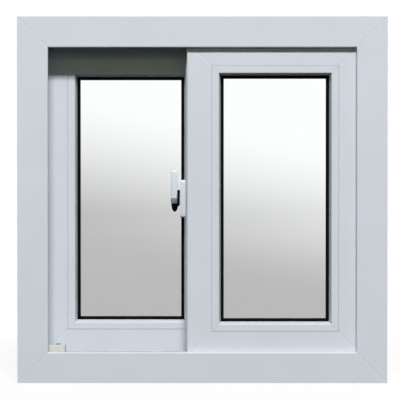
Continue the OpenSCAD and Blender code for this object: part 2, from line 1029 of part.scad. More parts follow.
// Keeper on the rear sash: a plate, a joggle past the bead and a lip beside the cam that tapers to a hook
module keeper() {
    v0 = rear_v - keeper_t;
    v1 = rear_v - keeper_joggle;
    v2 = v1 + keeper_t;
    joggle_x = keeper_bead_x - keeper_t;
    lip_x = keeper_lip_x - keeper_lip;
    hook_r = (keeper_lip + keeper_hook) / 2;
    z0 = lock_z - keeper_drop_share * keeper_h;
    z1 = z0 + keeper_h;
    hook_c = [lip_x + hook_r, z0 + keeper_hook_h];
    plan = [
        [keeper_right, v0], [keeper_right, rear_v], [keeper_bead_x, rear_v], [keeper_bead_x, v2],
        [lip_x, v2], [lip_x, keeper_front], [keeper_lip_x, keeper_front], [keeper_lip_x, v1],
        [joggle_x, v1], [joggle_x, v0]];
    face = concat(
        [[keeper_right, z0 + keeper_step], [keeper_right, z1 - edge_r], [keeper_right - edge_r, z1]],
        [[lip_x + edge_r, z1], [lip_x, z1 - edge_r]],
        [for (p = arc([0, 0], hook_r, 180, 360, 4 * arc_steps)) hook_c + [p[0], p[1] * keeper_hook_h / hook_r]],
        [[lip_x + 2 * hook_r, z0 + keeper_step]]);
    color(black_colour)
        difference() {
            intersection() {
                translate([0, vy(0), z0])
                    linear_extrude(keeper_h)
                        polygon(plan);
                translate([0, vy(frame_d), 0])
                    rotate([90, 0, 0])
                        linear_extrude(frame_d)
                            polygon(face);
            }
            keeper_screw_places()
                keeper_screw_hole();
            keeper_screw_places()
                cylinder(d = keeper_head_d + 2 * fit_gap, h = keeper_head_h + over);
        }
}

// Screws of the keeper, along +Y into the front wall of the rear meeting stile
module keeper_screw_places() {
    z0 = lock_z - keeper_drop_share * keeper_h;
    for (z = [z0 + keeper_step + keeper_screw_edge, z0 + keeper_h - keeper_screw_edge])
        translate([keeper_screw_x, vy(rear_v - keeper_t + keeper_head_h), z])
            rotate([90, 0, 0])
                children();
}

module keeper_screw_hole() {
    translate([0, 0, -keeper_screw_l - over])
        cylinder(d = screw_d + 2 * fit_gap, h = keeper_screw_l + 2 * over);
}

module keeper_screws() {
    color(steel_colour)
        keeper_screw_places()
            screw(screw_d, keeper_screw_l, keeper_head_d, keeper_head_h);
}

frame_head();
frame_sill();
frame_jamb_left();
frame_jamb_right();
front_rail();
rear_rail();
stop_block();
stop_block_screw();
front_top_rail();
front_bottom_rail();
front_meeting_stile();
front_jamb_stile();
front_bead_top();
front_bead_bottom();
front_bead_left();
front_bead_right();
front_glass();
front_inner_gaskets();
front_outer_gaskets();
front_setting_blocks();
front_pile_strips();
front_guide_blocks();
front_interlock();
front_roller_housing_left();
front_roller_housing_right();
front_roller_axles();
front_roller_screws();
front_wheel_left();
front_wheel_right();
rear_top_rail();
rear_bottom_rail();
rear_meeting_stile();
rear_jamb_stile();
rear_bead_top();
rear_bead_bottom();
rear_bead_left();
rear_bead_right();
rear_glass();
rear_inner_gaskets();
rear_outer_gaskets();
rear_setting_blocks();
rear_pile_strips();
rear_guide_blocks();
rear_interlock();
rear_roller_housing_left();
rear_roller_housing_right();
rear_roller_axles();
rear_roller_screws();
rear_wheel_left();
rear_wheel_right();
lock_base();
lock_base_screws();
lock_lever();
lock_cam();
lock_spindle();
keeper();
keeper_screws();
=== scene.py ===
# %% [markdown]
# # A sliding window, dressed for its portrait
#
# The window was modelled to size in CAD: a mitred frame, two glazed sashes on rollers, a crescent lock
# and its keeper. This lesson gives those solids their finishes, adds the small things that CAD leaves
# plain (eased edges, cross recesses, brush fibres), and sets up the photograph's view and light.

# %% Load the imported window
import json
import math

import bmesh
import bpy
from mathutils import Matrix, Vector

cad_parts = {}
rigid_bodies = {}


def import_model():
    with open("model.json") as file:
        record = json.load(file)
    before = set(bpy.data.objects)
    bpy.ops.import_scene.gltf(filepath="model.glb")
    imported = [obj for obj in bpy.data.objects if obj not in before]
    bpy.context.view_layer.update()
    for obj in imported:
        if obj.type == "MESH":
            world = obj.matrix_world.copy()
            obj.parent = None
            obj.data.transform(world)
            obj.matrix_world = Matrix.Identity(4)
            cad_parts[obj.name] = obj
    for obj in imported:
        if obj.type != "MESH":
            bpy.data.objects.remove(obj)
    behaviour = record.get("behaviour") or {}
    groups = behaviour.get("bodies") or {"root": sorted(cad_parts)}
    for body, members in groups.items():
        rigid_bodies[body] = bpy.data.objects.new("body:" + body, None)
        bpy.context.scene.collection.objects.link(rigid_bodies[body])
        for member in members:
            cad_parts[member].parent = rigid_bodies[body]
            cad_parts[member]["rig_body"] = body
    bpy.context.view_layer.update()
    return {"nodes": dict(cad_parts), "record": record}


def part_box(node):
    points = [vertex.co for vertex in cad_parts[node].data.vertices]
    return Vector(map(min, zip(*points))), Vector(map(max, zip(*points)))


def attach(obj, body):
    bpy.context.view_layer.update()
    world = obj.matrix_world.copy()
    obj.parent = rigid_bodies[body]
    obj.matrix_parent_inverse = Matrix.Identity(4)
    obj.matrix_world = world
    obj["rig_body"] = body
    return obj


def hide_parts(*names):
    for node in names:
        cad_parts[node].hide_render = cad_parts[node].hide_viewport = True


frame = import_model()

MM = 0.001
slot_of = {part["node"]: part["material_slot"] for part in frame["record"]["subparts"]}

# %% [markdown]
# ## Colours and nodes
#
# A colour is easiest to read as the eye sees it, in sRGB hex, but the renderer works in linear light, so
# one function turns the first into the second. Node trees could be drawn by hand in the editor. Here a
# second function adds a node to any tree, sets it and links it, so that each finish below reads from its
# texture to its output.

# %% Colour and node helpers
def linear(code):
    """The linear RGBA of an sRGB hex colour."""
    parts = [int(code[i:i + 2], 16) / 255 for i in (1, 3, 5)]
    return tuple(c / 12.92 if c <= 0.04045 else ((c + 0.055) / 1.055) ** 2.4 for c in parts) + (1.0,)


def add_node(tree, kind, settings=None, links=None):
    """Adds a node; settings name its properties or inputs, links its inputs and what feeds them."""
    node = tree.nodes.new(kind)
    for key, value in (settings or {}).items():
        if isinstance(key, str) and hasattr(node, key):
            setattr(node, key, value)
        else:
            node.inputs[key].default_value = value
    for key, socket in (links or {}).items():
        tree.links.new(socket, node.inputs[key])
    return node


def blank_material(name):
    """A material with an empty node tree."""
    material = bpy.data.materials.new(name)
    material.use_nodes = True
    material.node_tree.nodes.clear()
    return material


print("middle grey #808080 is", round(linear("#808080")[0], 3), "in linear light")

# %% [markdown]
# ## Extruded white vinyl
#
# The frame, sashes and beads are PVC-U pushed through a die and cooled in water. The die leaves faint
# lines along each bar, and the satin skin is a little uneven. A plain colour would look like plaster, and
# a picture would have to be laid along every bar, so a noise texture is stretched along the bar instead.
# The bars run two ways, so there is one finish for the level bars and one for the upright ones. The
# change of grain at a mitre then shows by itself.

# %% White vinyl
VINYL_PALE, VINYL_DEEP = "#D4D9E3", "#CED3DD"
# Real die lines are under 1 mm apart, too fine to show here, so they are drawn 4 mm apart
DIE_LINE, DIE_RUN = 4 * MM, 500 * MM
# Cooling leaves soft clouds of this width
VINYL_CLOUD = 60 * MM
# The Mix node has one set of sockets for each kind of value; these are the ones for colours
FACTOR, COLOUR_A, COLOUR_B, COLOUR_OUT = 0, 6, 7, 2


def extruded_vinyl(name, along):
    """White vinyl with die lines along one axis, X or Z."""
    material = blank_material(name)
    tree = material.node_tree
    place = add_node(tree, "ShaderNodeTexCoord")
    across, lengthwise = 1 / DIE_LINE, 1 / DIE_RUN
    stretch = (lengthwise, across, across) if along == "X" else (across, across, lengthwise)
    bar = add_node(tree, "ShaderNodeMapping", {"Scale": stretch}, {"Vector": place.outputs["Object"]})
    lines = add_node(tree, "ShaderNodeTexNoise", {"Scale": 1.0, "Detail": 2.0}, {"Vector": bar.outputs[0]})
    clouds = add_node(
        tree, "ShaderNodeTexNoise", {"Scale": 1 / VINYL_CLOUD, "Detail": 1.0},
        {"Vector": place.outputs["Object"]})
    colour = add_node(
        tree, "ShaderNodeMix",
        {"data_type": "RGBA", COLOUR_A: linear(VINYL_PALE), COLOUR_B: linear(VINYL_DEEP)},
        {FACTOR: clouds.outputs["Fac"]})
    gloss = add_node(
        tree, "ShaderNodeMapRange", {"To Min": 0.5, "To Max": 0.6}, {"Value": lines.outputs["Fac"]})
    bump = add_node(
        tree, "ShaderNodeBump", {"Strength": 0.25, "Distance": 0.05 * MM}, {"Height": lines.outputs["Fac"]})
    shader = add_node(
        tree, "ShaderNodeBsdfPrincipled", {"IOR": 1.53, "Specular IOR Level": 0.12},
        {"Base Color": colour.outputs[COLOUR_OUT], "Roughness": gloss.outputs[0],
         "Normal": bump.outputs[0]})
    add_node(tree, "ShaderNodeOutputMaterial", links={"Surface": shader.outputs[0]})
    return material


# To the eye: a cool satin white whose soft sheen breaks into streaks along each bar
level_vinyl = extruded_vinyl("extruded_white_vinyl_level", "X")
upright_vinyl = extruded_vinyl("extruded_white_vinyl_upright", "Z")
print("made", level_vinyl.name, "and", upright_vinyl.name)

# %% [markdown]
# ## Powder-coated lock, moulded nylon and black plastic
#
# The lock's base and lever are zinc castings under a baked powder coat, which dries to a fine orange
# peel. The wheels and the stop block are moulded nylon, cream and slightly cloudy. The keeper, cam and
# blocks are black moulded plastic with a spark-eroded grain. Each could have a tree of its own, but all
# of them are one recipe: a cloudy colour and a fine bump, each at its own size. So one function makes
# them.

# %% Coated and moulded finishes
GLOSS_SWING = 0.06


def moulded(name, pale, deep, cloud, grain, depth, roughness, specular=0.5):
    """A coat or moulding: two close colours in clouds, and a grain; cloud, grain and depth are in mm."""
    material = blank_material(name)
    tree = material.node_tree
    place = add_node(tree, "ShaderNodeTexCoord")
    clouds = add_node(
        tree, "ShaderNodeTexNoise", {"Scale": 1 / (cloud * MM), "Detail": 2.0},
        {"Vector": place.outputs["Object"]})
    peel = add_node(
        tree, "ShaderNodeTexNoise", {"Scale": 1 / (grain * MM), "Detail": 1.0},
        {"Vector": place.outputs["Object"]})
    colour = add_node(
        tree, "ShaderNodeMix", {"data_type": "RGBA", COLOUR_A: linear(pale), COLOUR_B: linear(deep)},
        {FACTOR: clouds.outputs["Fac"]})
    gloss = add_node(
        tree, "ShaderNodeMapRange", {"To Min": roughness - GLOSS_SWING, "To Max": roughness + GLOSS_SWING},
        {"Value": clouds.outputs["Fac"]})
    bump = add_node(
        tree, "ShaderNodeBump", {"Strength": 0.4, "Distance": depth * MM}, {"Height": peel.outputs["Fac"]})
    shader = add_node(
        tree, "ShaderNodeBsdfPrincipled", {"Specular IOR Level": specular},
        {"Base Color": colour.outputs[COLOUR_OUT], "Roughness": gloss.outputs[0],
         "Normal": bump.outputs[0]})
    add_node(tree, "ShaderNodeOutputMaterial", links={"Surface": shader.outputs[0]})
    return material


# To the eye: a bright bluish white with a clear, slightly rippled highlight
powder_coat = moulded(
    "white_powder_coat", pale="#D5DAE6", deep="#CED3DF", cloud=12, grain=1.2, depth=0.04, roughness=0.36)
# To the eye: duller and warmer than the vinyl beside it
cream_nylon = moulded(
    "cream_moulded_nylon", pale="#CFD0CE", deep="#C4C5C0", cloud=9, grain=0.9, depth=0.05, roughness=0.5)
# To the eye: nearly pure black, because the grain scatters what little it mirrors
black_plastic = moulded(
    "black_moulded_plastic", pale="#070708", deep="#040405", cloud=6, grain=0.6, depth=0.06, roughness=0.6,
    specular=0.08)
print("made", powder_coat.name, cream_nylon.name, black_plastic.name)

# %% [markdown]
# ## Black rubber
#
# The glazing gaskets are EPDM rubber pressed between bead and glass. The recipe above would do, but this
# rubber is dead matt all over, with a dusty bloom in large patches, and between white bead and bright
# pane it has to stay black. So it gets a tree of its own, with an even roughness and very little gloss.

# %% Gasket rubber
BLOOM, RUBBER_SKIN = 15 * MM, 0.8 * MM
# To the eye: a dead black line round each pane, greyed a little by dust
epdm_rubber = blank_material("black_epdm_rubber")
tree = epdm_rubber.node_tree
place = add_node(tree, "ShaderNodeTexCoord")
bloom = add_node(
    tree, "ShaderNodeTexNoise", {"Scale": 1 / BLOOM, "Detail": 4.0}, {"Vector": place.outputs["Object"]})
colour = add_node(
    tree, "ShaderNodeMix", {"data_type": "RGBA", COLOUR_A: linear("#060607"), COLOUR_B: linear("#0E0E0F")},
    {FACTOR: bloom.outputs["Fac"]})
skin = add_node(
    tree, "ShaderNodeTexNoise", {"Scale": 1 / RUBBER_SKIN, "Detail": 1.0},
    {"Vector": place.outputs["Object"]})
bump = add_node(
    tree, "ShaderNodeBump", {"Strength": 0.5, "Distance": 0.05 * MM}, {"Height": skin.outputs["Fac"]})
shader = add_node(
    tree, "ShaderNodeBsdfPrincipled", {"Roughness": 0.85, "Specular IOR Level": 0.06},
    {"Base Color": colour.outputs[COLOUR_OUT], "Normal": bump.outputs[0]})
add_node(tree, "ShaderNodeOutputMaterial", links={"Surface": shader.outputs[0]})
print("made", epdm_rubber.name)

# %% [markdown]
# ## Clear float glass
#
# Float glass is flat and clear, with a trace of green. A see-through sheet would lose its mirror and its
# edge, so the pane is a refracting solid. Such a solid stops the rays that look for a lamp, and it dims
# what the matt surfaces behind it get, so the glass turns plainly clear for those two kinds of ray. A
# very shallow, wide bump is the slight wave that float glass keeps from its tin bath.

# %% Glass
FLOAT_WAVE = 90 * MM
# The Mix Shader node calls both of its inputs Shader, so they go by number
SHADER_A, SHADER_B = 1, 2
# To the eye: what lies behind, hardly tinted, under a faint and slightly wavy mirror
float_glass = blank_material("clear_float_glass")
tree = float_glass.node_tree
place = add_node(tree, "ShaderNodeTexCoord")
wave = add_node(
    tree, "ShaderNodeTexNoise", {"Scale": 1 / FLOAT_WAVE, "Detail": 0.0},
    {"Vector": place.outputs["Object"]})
bump = add_node(
    tree, "ShaderNodeBump", {"Strength": 0.1, "Distance": 0.05 * MM}, {"Height": wave.outputs["Fac"]})
glass = add_node(
    tree, "ShaderNodeBsdfPrincipled",
    {"Base Color": linear("#FCFEFD"), "Transmission Weight": 1.0, "IOR": 1.5, "Roughness": 0.0},
    {"Normal": bump.outputs[0]})
clear = add_node(tree, "ShaderNodeBsdfTransparent", {"Color": linear("#F4F8F6")})
path = add_node(tree, "ShaderNodeLightPath")
from_matt = add_node(
    tree, "ShaderNodeMixShader",
    links={FACTOR: path.outputs["Is Diffuse Ray"], SHADER_A: glass.outputs[0], SHADER_B: clear.outputs[0]})
pane = add_node(
    tree, "ShaderNodeMixShader",
    links={FACTOR: path.outputs["Is Shadow Ray"], SHADER_A: from_matt.outputs[0],
           SHADER_B: clear.outputs[0]})
add_node(tree, "ShaderNodeOutputMaterial", links={"Surface": pane.outputs[0]})
print("made", float_glass.name)

# %% [markdown]
# ## Metals
#
# The rails are mill-finish aluminium, drawn through a die, so their fine scratches run along the track.
# An anisotropic shader could streak the highlight alone, but the scratches are seen from close by, so a
# stretched noise draws them.

# %% Aluminium
SCRATCH_RUN, SCRATCH = 120 * MM, 0.7 * MM
# To the eye: a dull grey metal with long streaks
mill_aluminium = blank_material("mill_finish_aluminium")
tree = mill_aluminium.node_tree
place = add_node(tree, "ShaderNodeTexCoord")
drawn = add_node(
    tree, "ShaderNodeMapping", {"Scale": (1 / SCRATCH_RUN, 1 / SCRATCH, 1 / SCRATCH)},
    {"Vector": place.outputs["Object"]})
scratches = add_node(
    tree, "ShaderNodeTexNoise", {"Scale": 1.0, "Detail": 3.0}, {"Vector": drawn.outputs[0]})
colour = add_node(
    tree, "ShaderNodeMix", {"data_type": "RGBA", COLOUR_A: linear("#C2C4C7"), COLOUR_B: linear("#ABAEB2")},
    {FACTOR: scratches.outputs["Fac"]})
gloss = add_node(
    tree, "ShaderNodeMapRange", {"To Min": 0.45, "To Max": 0.6}, {"Value": scratches.outputs["Fac"]})
bump = add_node(
    tree, "ShaderNodeBump", {"Strength": 0.3, "Distance": 0.03 * MM}, {"Height": scratches.outputs["Fac"]})
shader = add_node(
    tree, "ShaderNodeBsdfPrincipled", {"Metallic": 1.0},
    {"Base Color": colour.outputs[COLOUR_OUT], "Roughness": gloss.outputs[0], "Normal": bump.outputs[0]})
add_node(tree, "ShaderNodeOutputMaterial", links={"Surface": shader.outputs[0]})
print("made", mill_aluminium.name)

# %% [markdown]
# The screws, axles and roller housings are zinc-plated steel. The plating grows in pale and dull patches.
# A noise would blur them into clouds, so a Voronoi texture, whose cells have centres, gives them.

# %% Zinc
SPANGLE = 1.5 * MM
# To the eye: a pale, half-bright metal with a fleck about as large as a pinhead
zinc_steel = blank_material("zinc_plated_steel")
tree = zinc_steel.node_tree
place = add_node(tree, "ShaderNodeTexCoord")
spangle = add_node(
    tree, "ShaderNodeTexVoronoi", {"Scale": 1 / SPANGLE}, {"Vector": place.outputs["Object"]})
colour = add_node(
    tree, "ShaderNodeMix", {"data_type": "RGBA", COLOUR_A: linear("#C3C7CB"), COLOUR_B: linear("#A9ADB0")},
    {FACTOR: spangle.outputs["Distance"]})
gloss = add_node(
    tree, "ShaderNodeMapRange", {"To Min": 0.28, "To Max": 0.45}, {"Value": spangle.outputs["Distance"]})
shader = add_node(
    tree, "ShaderNodeBsdfPrincipled", {"Metallic": 1.0},
    {"Base Color": colour.outputs[COLOUR_OUT], "Roughness": gloss.outputs[0]})
add_node(tree, "ShaderNodeOutputMaterial", links={"Surface": shader.outputs[0]})
print("made", zinc_steel.name)

# %% [markdown]
# ## Brush pile
#
# The weather strip in the sash grooves is a brush of grey polypropylene yarn. A fuzzy texture on a block
# would keep the block's hard outline, so its fibres are made as geometry further on. The finish only
# varies their grey and gives the soft edge light of a yarn.

# %% Pile yarn
YARN = 1.0 * MM
# To the eye: a soft mid grey, lighter along its edges
pile_yarn = blank_material("grey_polypropylene_pile")
tree = pile_yarn.node_tree
place = add_node(tree, "ShaderNodeTexCoord")
fibre = add_node(
    tree, "ShaderNodeTexNoise", {"Scale": 1 / YARN, "Detail": 1.0}, {"Vector": place.outputs["Object"]})
colour = add_node(
    tree, "ShaderNodeMix", {"data_type": "RGBA", COLOUR_A: linear("#9A9DA1"), COLOUR_B: linear("#74777B")},
    {FACTOR: fibre.outputs["Fac"]})
shader = add_node(
    tree, "ShaderNodeBsdfPrincipled", {"Roughness": 0.9, "Sheen Weight": 0.3, "Specular IOR Level": 0.2},
    {"Base Color": colour.outputs[COLOUR_OUT]})
add_node(tree, "ShaderNodeOutputMaterial", links={"Surface": shader.outputs[0]})
print("made", pile_yarn.name)

# %% [markdown]
# ## Dress the CAD nodes
#
# Every solid takes the finish of its material slot. The finishes could be given piece by piece, but the
# record already names a slot for each, so one table serves. The vinyl ones take the level or the upright
# finish by the way their bar runs.

# %% Give each node its finish
FINISHES = {
    "white_lock_plastic": powder_coat, "clear_glass": float_glass, "black_rubber": epdm_rubber,
    "black_plastic": black_plastic, "grey_pile": pile_yarn, "mill_aluminium": mill_aluminium,
    "cream_nylon": cream_nylon, "zinc_steel": zinc_steel}
LEVEL_BARS = ("head", "sill", "top_rail", "bottom_rail", "bead_top", "bead_bottom")


def finish_of(node):
    """The material of a node's slot, and for vinyl of the way its bar runs."""
    if slot_of[node] == "white_vinyl":
        return level_vinyl if node.endswith(LEVEL_BARS) else upright_vinyl
    return FINISHES[slot_of[node]]


for name, solid in frame["nodes"].items():
    for material_slot in solid.material_slots:
        material_slot.material = finish_of(name)
print("dressed", len(frame["nodes"]), "nodes")

# %% [markdown]
# ## Eased edges on the small hardware
#
# A casting or a moulding has no knife edges: each one is eased by a few tenths of a millimetre and
# catches a thin line of light. Rounding them in CAD would make the solids heavy, so they are sharp there.
# Here each small piece is copied, its loose triangles are merged, a Bevel modifier eases its edges, and
# the result is kept as a plain mesh in the solid's place.

# %% Pieces and copies
# Corners nearer than this are one corner, and faces that meet at less than this angle are one face
WELD, FLAT = 0.001 * MM, math.radians(1)


def show(name, mesh, body, material, replaced):
    """Adds a finished mesh as a piece that rides on a body and stands for CAD nodes."""
    mesh.name = name
    mesh.materials.clear()
    mesh.materials.append(material)
    piece = bpy.data.objects.new(name, mesh)
    bpy.context.scene.collection.objects.link(piece)
    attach(piece, body)
    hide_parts(*replaced)
    return piece


def baked(holder):
    """The plain mesh of an object with its modifiers applied; the object itself is removed."""
    graph = bpy.context.evaluated_depsgraph_get()
    mesh = bpy.data.meshes.new_from_object(holder.evaluated_get(graph))
    bpy.data.objects.remove(holder)
    return mesh


def merged_shape(node):
    """A node's mesh as an editable shape with its triangles joined; the caller frees it."""
    shape = bmesh.new()
    shape.from_mesh(frame["nodes"][node].data)
    bmesh.ops.remove_doubles(shape, verts=shape.verts, dist=WELD)
    return shape


def merged_copy(node):
    """A copy of a node's mesh with its triangles joined and its flat faces made whole."""
    shape = merged_shape(node)
    bmesh.ops.dissolve_limit(
        shape, angle_limit=FLAT, verts=shape.verts, edges=shape.edges, delimit={"NORMAL"})
    mesh = bpy.data.meshes.new(node)
    shape.to_mesh(mesh)
    shape.free()
    return mesh


shape = merged_shape("lock_lever")
print("the lever has", len(shape.verts), "corners once its triangles are joined")
shape.free()

# %% [markdown]
# Only edges that turn by more than 32 degrees are eased, because the facets of a round turn by less and
# should stay smooth. The same angle then splits the shading, so that the easing itself looks round.

# %% Ease the hardware
CREASE = math.radians(32)
# Width of the easing in mm
EASED = {
    "lock_base": 0.7, "lock_lever": 1.4, "lock_cam": 0.4, "lock_spindle": 0.4, "keeper": 0.4,
    "stop_block": 0.8, "front_guide_blocks": 0.6, "rear_guide_blocks": 0.6}
for sash in ("front", "rear"):
    for side in ("left", "right"):
        EASED[sash + "_wheel_" + side] = 0.3
        EASED[sash + "_roller_housing_" + side] = 0.25


def ease(node, width):
    """Stands a copy of a node with eased edges in the node's place."""
    holder = bpy.data.objects.new(node, merged_copy(node))
    bpy.context.scene.collection.objects.link(holder)
    bevel = holder.modifiers.new("eased edges", "BEVEL")
    bevel.width = width * MM
    bevel.segments = 2
    bevel.limit_method = "ANGLE"
    bevel.angle_limit = CREASE
    mesh = baked(holder)
    mesh.polygons.foreach_set("use_smooth", [True] * len(mesh.polygons))
    mesh.set_sharp_from_angle(angle=CREASE)
    body = frame["nodes"][node]["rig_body"]
    return show(node + "_eased", mesh, body, finish_of(node), [node])


eased = [ease(node, width) for node, width in EASED.items()]
print("eased", len(eased), "pieces,", sum(len(piece.data.polygons) for piece in eased), "faces")

# %% [markdown]
# ## Screws
#
# Nothing tells scale like a screw. They could be modelled one by one, but they repeat, so a Geometry
# Nodes tree makes them all: a domed head with a cross recess cut out of it, and a shank, placed on
# points. Its sizes are inputs of the tree, so one tree serves every set of screws.

# %% Trees with named inputs
def new_tree(name, inputs):
    """An empty geometry tree with named inputs, and the identifier of each of them."""
    made = bpy.data.node_groups.new(name, "GeometryNodeTree")
    ids = {}
    for label, kind in inputs.items():
        socket = made.interface.new_socket(label, in_out="INPUT", socket_type="NodeSocket" + kind)
        ids[label] = socket.identifier
    made.interface.new_socket("Geometry", in_out="OUTPUT", socket_type="NodeSocketGeometry")
    return made, ids


def grown(name, made, ids, seed_mesh, values):
    """The plain mesh that a geometry tree grows on a seed mesh."""
    holder = bpy.data.objects.new(name, seed_mesh)
    bpy.context.scene.collection.objects.link(holder)
    modifier = holder.modifiers.new(name, "NODES")
    modifier.node_group = made
    for label, value in values.items():
        modifier[ids[label]] = value
    return baked(holder)


screw_tree, screw_ids = new_tree("cross_head_screws", {
    "Geometry": "Geometry", "Head Radius": "Float", "Head Height": "Float", "Shank Radius": "Float",
    "Shank Length": "Float", "Turn": "Vector", "Seed": "Int", "Material": "Material"})
print(screw_tree.name, "takes", ", ".join(screw_ids))

# %% [markdown]
# The head hangs below its point: a sloping crown in the upper half of its height, on a straight rim in
# the lower half. A dome could be a slice of a sphere, but on a head this small the slope alone reads as
# one. Two crossed blocks are cut out of the crown, and the rim's flat top is the floor of the recess.

# %% Screw head
HEAD_SIDES = 24
# Shares of the head's height, from its top down: where the rim's middle and the crown's foot lie
RIM_SHARE, CROWN_SHARE = -0.75, -0.5
# Shares of the head's radius: the crown's flat top, and the length and width of a cutting block
TOP_SHARE, ARM_SHARE, BLADE_SHARE = 0.72, 1.15, 0.3
# A cutting block is centred on the head's top, and this share of the head's height takes it past the crown
CUT_SHARE = 1.3
tree = screw_tree
given = add_node(tree, "NodeGroupInput")
height, radius = given.outputs["Head Height"], given.outputs["Head Radius"]
half = add_node(tree, "ShaderNodeMath", {"operation": "MULTIPLY", 1: 0.5}, {0: height})
top = add_node(tree, "ShaderNodeMath", {"operation": "MULTIPLY", 1: TOP_SHARE}, {0: radius})
rim = add_node(
    tree, "GeometryNodeMeshCylinder", {"Vertices": HEAD_SIDES},
    {"Radius": radius, "Depth": half.outputs[0]})
crown = add_node(
    tree, "GeometryNodeMeshCone", {"Vertices": HEAD_SIDES},
    {"Radius Bottom": radius, "Radius Top": top.outputs[0], "Depth": half.outputs[0]})
rim_drop = add_node(tree, "ShaderNodeMath", {"operation": "MULTIPLY", 1: RIM_SHARE}, {0: height})
rim_place = add_node(tree, "ShaderNodeCombineXYZ", links={"Z": rim_drop.outputs[0]})
rim_set = add_node(
    tree, "GeometryNodeTransform",
    links={"Geometry": rim.outputs["Mesh"], "Translation": rim_place.outputs[0]})
crown_drop = add_node(tree, "ShaderNodeMath", {"operation": "MULTIPLY", 1: CROWN_SHARE}, {0: height})
crown_place = add_node(tree, "ShaderNodeCombineXYZ", links={"Z": crown_drop.outputs[0]})
crown_set = add_node(
    tree, "GeometryNodeTransform",
    links={"Geometry": crown.outputs["Mesh"], "Translation": crown_place.outputs[0]})
arm = add_node(tree, "ShaderNodeMath", {"operation": "MULTIPLY", 1: ARM_SHARE}, {0: radius})
blade = add_node(tree, "ShaderNodeMath", {"operation": "MULTIPLY", 1: BLADE_SHARE}, {0: radius})
deep = add_node(tree, "ShaderNodeMath", {"operation": "MULTIPLY", 1: CUT_SHARE}, {0: height})
arm_size = add_node(
    tree, "ShaderNodeCombineXYZ", links={"X": arm.outputs[0], "Y": blade.outputs[0], "Z": deep.outputs[0]})
cross_size = add_node(
    tree, "ShaderNodeCombineXYZ", links={"X": blade.outputs[0], "Y": arm.outputs[0], "Z": deep.outputs[0]})
arm_cut = add_node(tree, "GeometryNodeMeshCube", links={"Size": arm_size.outputs[0]})
cross_cut = add_node(tree, "GeometryNodeMeshCube", links={"Size": cross_size.outputs[0]})
head = add_node(
    tree, "GeometryNodeMeshBoolean", {"operation": "DIFFERENCE"},
    {"Mesh 1": crown_set.outputs[0], "Mesh 2": arm_cut.outputs["Mesh"]})
tree.links.new(cross_cut.outputs["Mesh"], head.inputs["Mesh 2"])
print("the head takes", len(tree.nodes), "nodes")

# %% [markdown]
# The shank is a plain round bar under the head. Nobody stops a screw at the same angle twice, so each one
# is turned about its own axis by a seeded random angle before the instances are made real.

# %% Shank, and a screw on every point
SHANK_SIDES = 12
# The Random Value node has one set of sockets for each kind of value; these are the ones for numbers
RANDOM_LOW, RANDOM_HIGH, RANDOM_OUT = 2, 3, 1
shank = add_node(
    tree, "GeometryNodeMeshCylinder", {"Vertices": SHANK_SIDES},
    {"Radius": given.outputs["Shank Radius"], "Depth": given.outputs["Shank Length"]})
shank_half = add_node(
    tree, "ShaderNodeMath", {"operation": "MULTIPLY", 1: -0.5}, {0: given.outputs["Shank Length"]})
shank_drop = add_node(
    tree, "ShaderNodeMath", {"operation": "SUBTRACT"}, {0: shank_half.outputs[0], 1: height})
shank_place = add_node(tree, "ShaderNodeCombineXYZ", links={"Z": shank_drop.outputs[0]})
shank_set = add_node(
    tree, "GeometryNodeTransform",
    links={"Geometry": shank.outputs["Mesh"], "Translation": shank_place.outputs[0]})
screw = add_node(tree, "GeometryNodeJoinGeometry", links={"Geometry": shank_set.outputs[0]})
tree.links.new(rim_set.outputs[0], screw.inputs["Geometry"])
tree.links.new(head.outputs[0], screw.inputs["Geometry"])
twist = add_node(
    tree, "FunctionNodeRandomValue", {"data_type": "FLOAT", RANDOM_LOW: 0.0, RANDOM_HIGH: math.tau},
    {"Seed": given.outputs["Seed"]})
twist_turn = add_node(tree, "ShaderNodeCombineXYZ", links={"Z": twist.outputs[RANDOM_OUT]})
on_points = add_node(
    tree, "GeometryNodeInstanceOnPoints",
    links={"Points": given.outputs["Geometry"], "Instance": screw.outputs[0],
           "Rotation": given.outputs["Turn"]})
turned = add_node(
    tree, "GeometryNodeRotateInstances", {"Local Space": True},
    {"Instances": on_points.outputs[0], "Rotation": twist_turn.outputs[0]})
whole = add_node(tree, "GeometryNodeRealizeInstances", links={"Geometry": turned.outputs[0]})
finished = add_node(
    tree, "GeometryNodeSetMaterial",
    links={"Geometry": whole.outputs[0], "Material": given.outputs["Material"]})
add_node(tree, "NodeGroupOutput", links={"Geometry": finished.outputs[0]})
print(screw_tree.name, "has", len(tree.nodes), "nodes")

# %% [markdown]
# The screws' places could be typed in again, but the CAD holds them. A set's node has one closed solid
# for each screw, so the boxes of its separate solids give every screw's place and length, and each one
# stands in its own hole. Which way the head points is known for each set.

# %% Boxes of separate solids
def solid_boxes(node):
    """The lowest and highest corner of each separate solid of a node, in order."""
    shape = merged_shape(node)
    unseen, boxes = set(shape.verts), []
    while unseen:
        start = unseen.pop()
        solid, waiting = [start], [start]
        while waiting:
            corner = waiting.pop()
            for edge in corner.link_edges:
                other = edge.other_vert(corner)
                if other in unseen:
                    unseen.discard(other)
                    solid.append(other)
                    waiting.append(other)
        low = Vector([min(corner.co[i] for corner in solid) for i in range(3)])
        high = Vector([max(corner.co[i] for corner in solid) for i in range(3)])
        boxes.append((low, high))
    shape.free()
    return sorted(boxes, key=lambda box: tuple(round(c, 6) for c in box[0]))


print("the keeper is held by", len(solid_boxes("keeper_screws")), "screws")

# %% [markdown]
# Each set grows on a seed mesh that is only points, one at the top of every head.

# %% Set the screws
X, Y, Z = range(3)
SCREW_SEED = 4
